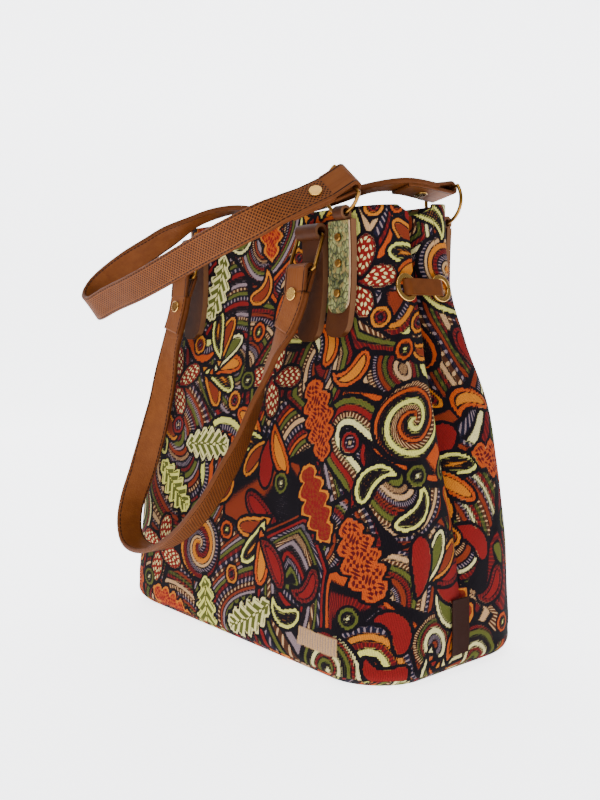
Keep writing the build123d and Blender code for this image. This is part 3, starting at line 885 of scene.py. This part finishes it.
def fold_loop(name, place, heading, width, body):
    """The loop of a strap's end round its bar: an outer and an inner sheet."""
    out = np.cross(heading, width)
    half = STRAP_THICKNESS / 2
    turns = np.linspace(-math.pi / 2, -3 * math.pi / 2, 19)
    circle = np.stack([np.cos(turns), np.sin(turns)], 1)
    across = np.concatenate([[-1, -0.97], np.linspace(-0.9, 0.9, 9), [0.97, 1]]) * STRAP_WIDTH / 2
    inset = np.where(np.abs(across) > STRAP_WIDTH * 0.49, FOLD_CORNER, 0)
    points, strap = [], []
    for face, radius, first, last in (
        (1, FOLD_RADIUS, -half, half + TAIL_THICKNESS),
        (-1, FOLD_RADIUS - FOLD_THICKNESS, half * 0.2, half),
    ):
        line = np.concatenate([[(FOLD_REACH, first)], radius * circle, [(FOLD_REACH, last)]])
        shift = -face * unit(line)[:, None] * inset[:, None]
        shift[[0, -1], :, 0] = 0
        spots = line[:, None] + shift
        points.append(place + spots[..., :1] * heading + spots[..., 1:] * out + across[:, None] * width)
        strap += [(k * 1.5, w, face) for k in range(len(line)) for w in across]
    rows, columns = len(line) - 1, len(across) - 1
    stride = columns + 1
    count = (rows + 1) * stride
    faces = grid_faces(rows, columns) + [face[::-1] for face in grid_faces(rows, columns, count)]
    for k in range(rows):
        for edge, flip in ((0, 1), (columns, -1)):
            here, following = k * stride + edge, (k + 1) * stride + edge
            faces.append((here, following, count + following, count + here)[::flip])
    piece = mesh_object(name, np.reshape(points, (-1, 3)), faces, body, "strap_leather")
    store(piece, "strap", strap)
    return piece


def handle(name, route, body, node):
    """A handle: its strap, and a folded and sewn tail at both ends."""
    places, headings, widths, along = curve_through(route, HANDLE_STEPS)
    before_end = along[-1] - along
    straight = (along > FOLD_REACH - 1) & (before_end > FOLD_REACH - 1)
    half = STRAP_THICKNESS / 2
    tail = band_section(STRAP_WIDTH - 0.8, half, half + TAIL_THICKNESS, 0.6)
    for part, chosen, section in (
        ("main", straight, band_section(STRAP_WIDTH, -half, half, 0.9)),
        ("tail_start", straight & (along < FOLD_LENGTH), tail),
        ("tail_end", straight & (before_end < FOLD_LENGTH), tail),
    ):
        run = (places[chosen], headings[chosen], widths[chosen], along[chosen])
        band_piece(f"{name}_{part}", *run, section, body)
    fold_loop(f"{name}_fold_start", places[0], headings[0], widths[0], body)
    fold_loop(f"{name}_fold_end", places[-1], -headings[-1], -widths[-1], body)
    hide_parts(node)


# Materials

class Nodes:
    """Short calls for building a material's nodes."""

    def __init__(self, name):
        material = bpy.data.materials.new(name)
        material.use_nodes = True
        self.tree = material.node_tree
        self.shader = self.tree.nodes["Principled BSDF"]

    def link(self, source, target):
        """Joins a socket to an input, or sets the input to a fixed value."""
        if isinstance(source, bpy.types.NodeSocket):
            self.tree.links.new(source, target)
        elif target.type == "RGBA":
            target.default_value = (*source, 1)
        else:
            target.default_value = source

    def node(self, kind, values, output=0, **settings):
        """An output of a new node with these inputs and settings."""
        node = self.tree.nodes.new("ShaderNode" + kind)
        for name, setting in settings.items():
            setattr(node, name, setting)
        for socket, value in values.items():
            self.link(value, node.inputs[socket])
        return node.outputs[output]

    def math(self, operation, a, b=0.0):
        return self.node("Math", {0: a, 1: b}, operation=operation)

    def plus(self, a, b):
        return self.math("ADD", a, b)

    def minus(self, a, b):
        return self.math("SUBTRACT", a, b)

    def times(self, a, b):
        return self.math("MULTIPLY", a, b)

    def size(self, a):
        return self.math("ABSOLUTE", a)

    def hypot(self, a, b):
        return self.math("SQRT", self.plus(self.times(a, a), self.times(b, b)))

    def sine(self, value, pitch):
        """A wave of a value that repeats at a pitch."""
        return self.math("SINE", self.times(value, 2 * math.pi / pitch))

    def above(self, value, limit, soft=0.1):
        """A mask that rises from 0 to 1 as a value passes a limit."""
        if isinstance(limit, bpy.types.NodeSocket):
            return self.above(self.minus(value, limit), 0.0, soft)
        ends = {0: value, 1: limit - soft, 2: limit + soft}
        return self.node("MapRange", ends, interpolation_type="SMOOTHSTEP")

    def below(self, value, limit, soft=0.1):
        """A mask that falls from 1 to 0 as a value passes a limit."""
        return self.minus(1.0, self.above(value, limit, soft))

    def mix(self, factor, a, b, blend="MIX"):
        return self.node("Mix", {0: factor, 6: a, 7: b}, 2, data_type="RGBA", blend_type=blend)

    def attribute(self, name):
        return self.node("Attribute", {}, "Vector", attribute_name=name)

    def split(self, vector):
        return self.node("SeparateXYZ", {0: vector}).node.outputs[:3]

    def join(self, x, y, z=0.0):
        return self.node("CombineXYZ", {0: x, 1: y, 2: z})

    def noise(self, vector, scale, detail=3.0, rough=0.55):
        values = {"Vector": vector, "Scale": scale, "Detail": detail, "Roughness": rough}
        return self.node("TexNoise", values)

    def cells(self, vector, scale, feature="F1"):
        return self.node("TexVoronoi", {"Vector": vector, "Scale": scale}, feature=feature)

    def position(self):
        """Place on the object, in metres, in its own frame."""
        return self.node("TexCoord", {}, "Object")

    def sideways(self):
        """A mask of the faces that look along x: the edges of flat pieces."""
        return self.above(self.size(self.split(self.node("NewGeometry", {}, "Normal"))[0]), 0.8)

    def bump(self, height, distance, strength):
        values = {"Height": height, "Distance": distance, "Strength": strength}
        self.link(self.node("Bump", values), self.shader.inputs["Normal"])

    def finish(self, colour, rough, **fixed):
        self.link(colour, self.shader.inputs["Base Color"])
        self.link(rough, self.shader.inputs["Roughness"])
        for name, value in fixed.items():
            self.link(value, self.shader.inputs[name.replace("_", " ")])


# Pitches of the cloth's threads, in millimetres on the cloth, and of the
# lining's and the label's threads, in metres
WARP_PITCH = 1.5
WEFT_PITCH = 1.3
LINING_PITCH = 0.0012
LABEL_PITCH = (0.0009, 0.0007)


def jacquard_material():
    """Coarse woven cloth that shows the pattern kept on the mesh."""
    n = Nodes("jacquard")
    u, v, _ = n.split(n.attribute("cloth"))
    edge, depth, rim = n.split(n.attribute("place"))
    stripe, cross, level = n.split(n.attribute("weave"))
    ragged = n.times(n.minus(n.noise(n.join(u, v), 1.3, 2), 0.5), 1.1)
    wave = n.plus(n.times(n.sine(stripe, 1), n.sine(cross, 1)), n.times(ragged, 0.6))
    body = n.mix(n.above(wave, level, 0.12), n.attribute("tone1"), n.attribute("tone2"))
    inner = n.mix(n.above(n.plus(depth, ragged), rim, 0.2), n.attribute("tone0"), body)
    floats = n.above(n.noise(n.join(u, n.times(v, 1.6)), 1.6, 2), 0.6, 0.05)
    inner = n.mix(n.times(floats, 0.55), inner, linear(BROWN))
    shown = n.above(n.plus(edge, ragged), 0.0, 0.16)
    colour = n.mix(shown, linear(INK), inner)

    warp = n.sine(n.plus(u, v), WARP_PITCH)
    weft = n.sine(n.minus(v, n.times(u, 0.4)), WEFT_PITCH)
    thread = n.times(warp, weft)
    grain = n.minus(n.noise(n.join(n.times(u, 0.9), n.times(v, 2.2)), 1.1, 3), 0.5)
    shade = n.plus(0.75, n.plus(n.times(thread, 0.34), n.times(grain, 0.8)))
    colour = n.mix(1.0, colour, n.join(shade, shade, shade), "MULTIPLY")
    n.bump(n.plus(n.times(thread, 0.4), n.times(shown, 0.7)), 0.0003, 0.8)
    n.finish(colour, 0.9, Specular_IOR_Level=0.06)


def lining_material():
    """Plain dark cloth."""
    n = Nodes("lining")
    place = n.position()
    x, y, z = n.split(place)
    thread = n.times(n.sine(n.plus(x, y), LINING_PITCH), n.sine(z, LINING_PITCH))
    colour = n.mix(n.noise(place, 60), linear((32, 24, 22)), linear((54, 42, 36)))
    n.bump(thread, 0.0002, 0.5)
    n.finish(colour, 0.9, Specular_IOR_Level=0.1)


def leather_nodes(n, place, dark, light, scale):
    """The clouded colour of leather and the height of its grain."""
    colour = n.mix(n.noise(place, scale * 0.16, 4, 0.6), linear(dark), linear(light))
    return colour, n.times(n.cells(place, scale), 0.5)


# Straps: the rows of holes, the sewn line and the dark edge, in millimetres
# from the strap's middle line and along it
HOLE_PITCH = 2.7
HOLE_RADIUS = 0.6
HOLED_HALF = 7.0
SEWN_LINE = 8.4
STITCH_PITCH = 3.2
EDGE_LINE = 9.35


def strap_material():
    """Tan leather with rows of fine holes painted dark as the shade in them, a stitched groove darkened
    with painted shade, and dark edges.
    """
    n = Nodes("strap_leather")
    along, across, face = n.split(n.attribute("strap"))
    flat = n.join(n.times(along, MM), n.times(across, MM), face)
    colour, height = leather_nodes(n, flat, (82, 41, 15), (113, 63, 27), 900)

    row = n.math("DIVIDE", across, HOLE_PITCH / 2)
    nearest = n.math("ROUND", row)
    shifted = n.plus(along, n.times(nearest, HOLE_PITCH / 2))
    past = n.minus(n.math("FRACT", n.math("DIVIDE", shifted, HOLE_PITCH)), 0.5)
    reach = n.hypot(n.times(past, HOLE_PITCH), n.times(n.minus(row, nearest), HOLE_PITCH / 2))
    aside = n.size(across)
    holed = n.times(n.below(aside, HOLED_HALF), n.below(face, -0.5, 0.2))
    hole = n.times(n.below(reach, HOLE_RADIUS, 0.15), holed)

    groove = n.below(n.size(n.minus(aside, SEWN_LINE)), 0.5)
    stitch = n.times(groove, n.above(n.sine(along, STITCH_PITCH), -0.35, 0.2))
    edge = n.above(aside, EDGE_LINE, 0.15)
    # Painted shade: each hole is filled with near-black, for the shade inside it.
    colour = n.mix(hole, colour, linear((22, 9, 3)))
    # Painted shade: the sewn groove is darkened along its whole length.
    colour = n.mix(n.times(groove, 0.5), colour, linear((40, 18, 6)))
    colour = n.mix(n.times(stitch, 0.9), colour, linear((24, 11, 6)))
    colour = n.mix(n.times(edge, 0.6), colour, linear((58, 26, 7)))
    height = n.minus(height, n.plus(hole, n.times(groove, 0.7)))
    n.bump(n.plus(height, n.times(stitch, 0.9)), 0.0004, 0.7)
    n.finish(colour, 0.56, Specular_IOR_Level=0.07)


def smooth_leather(name, dark, light, scale, rough, shine, edge):
    """Smooth brown leather, with its edges painted paler by a share."""
    n = Nodes(name)
    colour, height = leather_nodes(n, n.position(), dark, light, scale)
    colour = n.mix(n.times(n.sideways(), edge), colour, linear((120, 84, 58)))
    n.bump(height, 0.0002, 0.5)
    n.finish(colour, rough, Specular_IOR_Level=shine)


def scale_material():
    """Sage green leather embossed with scales, with painted shade in the grooves between them and a
    pale edge.
    """
    n = Nodes("scale_leather")
    place = n.position()
    x, y, z = n.split(place)
    cell = n.cells(n.join(x, y, n.times(z, 0.62)), 420, "DISTANCE_TO_EDGE")
    cloud = n.above(n.noise(place, 160), 0.5, 0.2)
    colour = n.mix(cloud, linear((56, 60, 30)), linear((122, 122, 74)))
    # Painted shade: the grooves between the scales are darkened to near-black.
    colour = n.mix(n.times(n.below(cell, 0.1, 0.07), 0.8), colour, linear((18, 20, 10)))
    gilt = n.above(n.noise(place, 230, 2), 0.58, 0.05)
    colour = n.mix(n.times(gilt, 0.6), colour, linear((130, 108, 60)))
    colour = n.mix(n.times(n.sideways(), 0.7), colour, linear((186, 150, 120)))
    n.bump(n.math("MINIMUM", cell, 0.3), 0.0014, 1.0)
    n.finish(colour, 0.5, Specular_IOR_Level=0.12)


def brass_material(name, dark, light, rough):
    """Brass with a little wear."""
    n = Nodes(name)
    colour = n.mix(n.noise(n.position(), 180, 4), linear(dark), linear(light))
    n.finish(colour, rough, Metallic=1.0)


def label_material():
    """Dark woven tape."""
    n = Nodes("label")
    _, y, z = n.split(n.position())
    thread = n.times(n.sine(y, LABEL_PITCH[0]), n.sine(z, LABEL_PITCH[1]))
    tone = n.plus(n.times(thread, 0.3), 0.5)
    n.bump(thread, 0.0002, 0.5)
    n.finish(n.mix(tone, linear((26, 11, 7)), linear((44, 22, 15))), 0.8, Specular_IOR_Level=0.05)


def board_material():
    """Matt black board."""
    n = Nodes("matt_board")
    n.finish(n.mix(n.noise(n.position(), 90), linear((16, 15, 15)), linear((30, 28, 27))), 0.85)


jacquard_material()
lining_material()
strap_material()
smooth_leather("tab_leather", (46, 20, 6), (68, 34, 11), 1100, 0.54, 0.08, 0.5)
smooth_leather("cinch_leather", (62, 28, 6), (90, 46, 12), 1000, 0.52, 0.1, 0.0)
scale_material()
brass_material("antique_brass", (96, 64, 24), (140, 100, 44), 0.28)
brass_material("pale_gold", (184, 136, 62), (214, 170, 96), 0.22)
label_material()
board_material()

# Solids that are shown as they are: their material and how their names start
SHOWN = {
    "antique_brass": ("ring_", "stud_"),
    "pale_gold": ("rivet_", "grommet_", "washer_"),
    "tab_leather": ("tab_",),
    "cinch_leather": ("cinch_",),
    "scale_leather": ("studded_",),
    "matt_board": ("base_board",),
}
for material, starts in SHOWN.items():
    for name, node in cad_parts.items():
        if name.startswith(starts):
            node.data.materials.clear()
            node.data.materials.append(bpy.data.materials[material])

cloth_piece("front_cloth", 1, 23, ["front_panel", "rim_facing"])
cloth_piece("back_cloth", -1, 7, ["back_panel"])
base_piece()
lining_piece()
label_piece()
handle("front_handle", FRONT_ROUTE, "front_handle", "front_handle_strap")
handle("side_handle", SIDE_ROUTE, "side_handle", "side_handle_strap")

# Camera: its turn from the front, its rise, its distance and the point that it
# looks at, in millimetres, and its focal length in pixels of the photograph
CAMERA_TURN = math.radians(49.6)
CAMERA_RISE = math.radians(4.6)
CAMERA_DISTANCE = 682.0
CAMERA_AIM = (-5.592, -3.046, 162.0)
PHOTO_HEIGHT = 800
FOCAL_PIXELS = 930.0
SENSOR = 36.0

# Floor, in metres from the bag's middle: its near and far end, the radius of
# its bend, the backdrop's top and half its width
FLOOR_NEAR = -2.5
FLOOR_FAR = 1.2
BEND_RADIUS = 0.9
BACKDROP_TOP = 3.2
FLOOR_HALF = 3.0
FLOOR_DROP = 0.0002
FLOOR_GLOW = 3.2

# Lights: name, place and size in metres, power in watts
LIGHTS = [
    ("key", (0.9, -1.3, 1.7), 1.2, 30),
    ("fill", (-1.3, -1.0, 1.0), 1.6, 6),
    ("top", (0.1, 0.2, 2.2), 2.0, 24),
]
LIGHT_AIM = (0, 0, 0.15)
SKY_COLOUR = (0.93, 0.95, 1.0, 1)
SKY_STRENGTH = 0.35


def floor():
    """A wide pale floor that curves up into a backdrop."""
    turns = np.linspace(0.08, math.pi / 2, 16)
    bend = zip(FLOOR_FAR + BEND_RADIUS * np.sin(turns), BEND_RADIUS * (1 - np.cos(turns)))
    profile = [(FLOOR_NEAR, 0), (FLOOR_FAR, 0), *bend, (FLOOR_FAR + BEND_RADIUS, BACKDROP_TOP)]
    right = way(CAMERA_TURN)
    away = way(CAMERA_TURN + math.pi / 2)
    points = [
        (*(away * distance + right * side), height - FLOOR_DROP)
        for distance, height in profile
        for side in (-FLOOR_HALF, FLOOR_HALF)
    ]
    glow = {"Emission_Color": (1.0, 1.0, 1.02), "Emission_Strength": FLOOR_GLOW}
    Nodes("floor").finish(linear((236, 237, 240)), 0.8, Specular_IOR_Level=0.1, **glow)
    smooth_mesh("floor", points, grid_faces(len(profile) - 1, 1), "floor")


def area_light(name, place, size, power):
    """A soft square light that faces the bag."""
    light = bpy.data.lights.new(name, "AREA")
    light.size = size
    light.energy = power
    lamp = in_scene(name, light)
    lamp.location = place
    lamp.rotation_euler = (Vector(LIGHT_AIM) - Vector(place)).to_track_quat("-Z", "Y").to_euler()


def sky():
    """A dim, slightly blue sky."""
    world = bpy.data.worlds.new("studio")
    world.use_nodes = True
    background = world.node_tree.nodes["Background"]
    background.inputs[0].default_value = SKY_COLOUR
    background.inputs[1].default_value = SKY_STRENGTH
    bpy.context.scene.world = world


def camera():
    """The camera at the photograph's viewing angle."""
    level = way(CAMERA_TURN - math.pi / 2) * math.cos(CAMERA_RISE)
    back = Vector((*level, math.sin(CAMERA_RISE)))
    lens = bpy.data.cameras.new("camera")
    lens.sensor_width = SENSOR
    lens.lens = FOCAL_PIXELS / PHOTO_HEIGHT * SENSOR
    lens.clip_end = 20
    view = in_scene("camera", lens)
    view.location = (Vector(CAMERA_AIM) + back * CAMERA_DISTANCE) * MM
    view.rotation_euler = (-back).to_track_quat("-Z", "Y").to_euler()
    bpy.context.scene.camera = view


floor()
camera()
for light in LIGHTS:
    area_light(*light)
sky()
